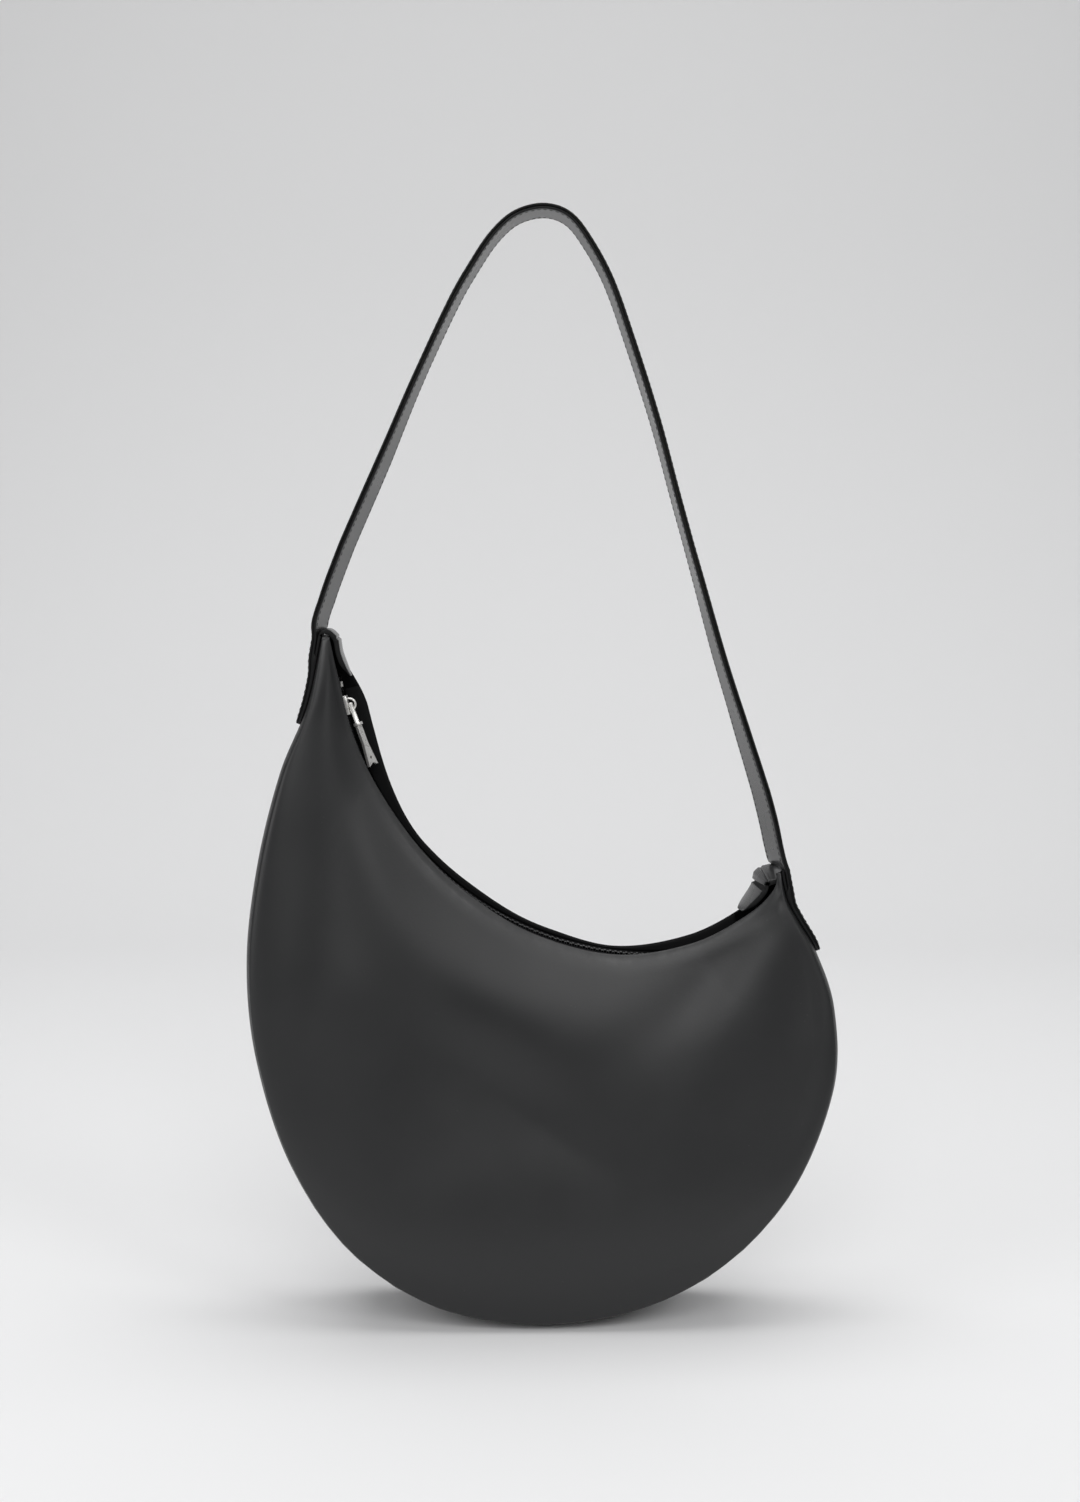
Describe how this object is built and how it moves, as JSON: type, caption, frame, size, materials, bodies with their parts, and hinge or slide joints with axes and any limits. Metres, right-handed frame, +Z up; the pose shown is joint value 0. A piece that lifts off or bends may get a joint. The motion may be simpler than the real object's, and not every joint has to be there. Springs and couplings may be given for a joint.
{
  "type": "shoulder bag",
  "caption": "Crescent-shaped leather shoulder bag with a curved zipped mouth, a deep gusset, a metal zip puller and one strap from tip to tip.",
  "frame": {"origin": "on the ground plane under the middle of the bag's width and depth, where its lowest point rests", "axes": "+Z up, +X towards the lower tip at the viewer's right, -Y out of the front panel"},
  "size_m": [0.346, 0.0824, 0.6469],
  "materials": {
    "bag_leather": "smooth black leather, satin",
    "strap_leather": "smooth black leather, satin, raw edges painted black",
    "strap_tape": "woven reinforcement tape",
    "stiffener_board": "thin bonded board",
    "lining_fabric": "fine woven lining, matte",
    "zip_tape_fabric": "black woven zip tape",
    "zip_teeth": "black moulded teeth",
    "silver_metal": "polished silver-coloured plate"
  },
  "bodies": {
    "strap": {"strap_outer_layer": "strap_leather", "strap_core": "strap_tape", "strap_inner_layer": "strap_leather", "left_strap_root": "strap_leather", "right_strap_root": "strap_leather"},
    "bag": {"front_panel": "bag_leather", "back_panel": "bag_leather", "gusset": "bag_leather", "gusset_stiffener": "stiffener_board", "front_lining": "lining_fabric", "back_lining": "lining_fabric", "gusset_lining": "lining_fabric", "front_mouth_facing": "bag_leather", "back_mouth_facing": "bag_leather", "front_zip_tape": "zip_tape_fabric", "back_zip_tape": "zip_tape_fabric", "front_zip_teeth": "zip_teeth", "back_zip_teeth": "zip_teeth", "zip_top_stops": "silver_metal", "zip_bottom_stop": "silver_metal", "left_tip_tab": "strap_leather", "right_tip_tab": "strap_leather", "left_strap_end": "strap_leather", "right_strap_end": "strap_leather"},
    "slider": {"slider_body": "silver_metal", "slider_bridge": "silver_metal"},
    "link": {"puller_link": "silver_metal"},
    "bar": {"pull_bar": "silver_metal"}
  },
  "joints": [
    {"name": "strap_swing", "type": "hinge", "parent": "strap", "child": "bag", "pos_m": [-0.12831, 0, 0.42131], "axis": [0.8882, 0, -0.4594], "range_deg": [-90, 90], "deforming": ["left_strap_root", "right_strap_root"]},
    {"name": "slider_travel", "type": "hinge", "parent": "bag", "child": "slider", "pos_m": [0.06547, 0, 0.39988], "axis": [0, -1, 0], "range_deg": [-1.4, 80.5], "deforming": ["front_zip_teeth", "back_zip_teeth"]},
    {"name": "link_swing", "type": "hinge", "parent": "slider", "child": "link", "pos_m": [-0.11189, 0, 0.36378], "axis": [0, -1, 0], "range_deg": [0, 140]},
    {"name": "bar_turn", "type": "hinge", "parent": "link", "child": "bar", "pos_m": [-0.10789, 0, 0.35246], "axis": [0.3338, 0, -0.9427], "continuous": true}
  ]
}
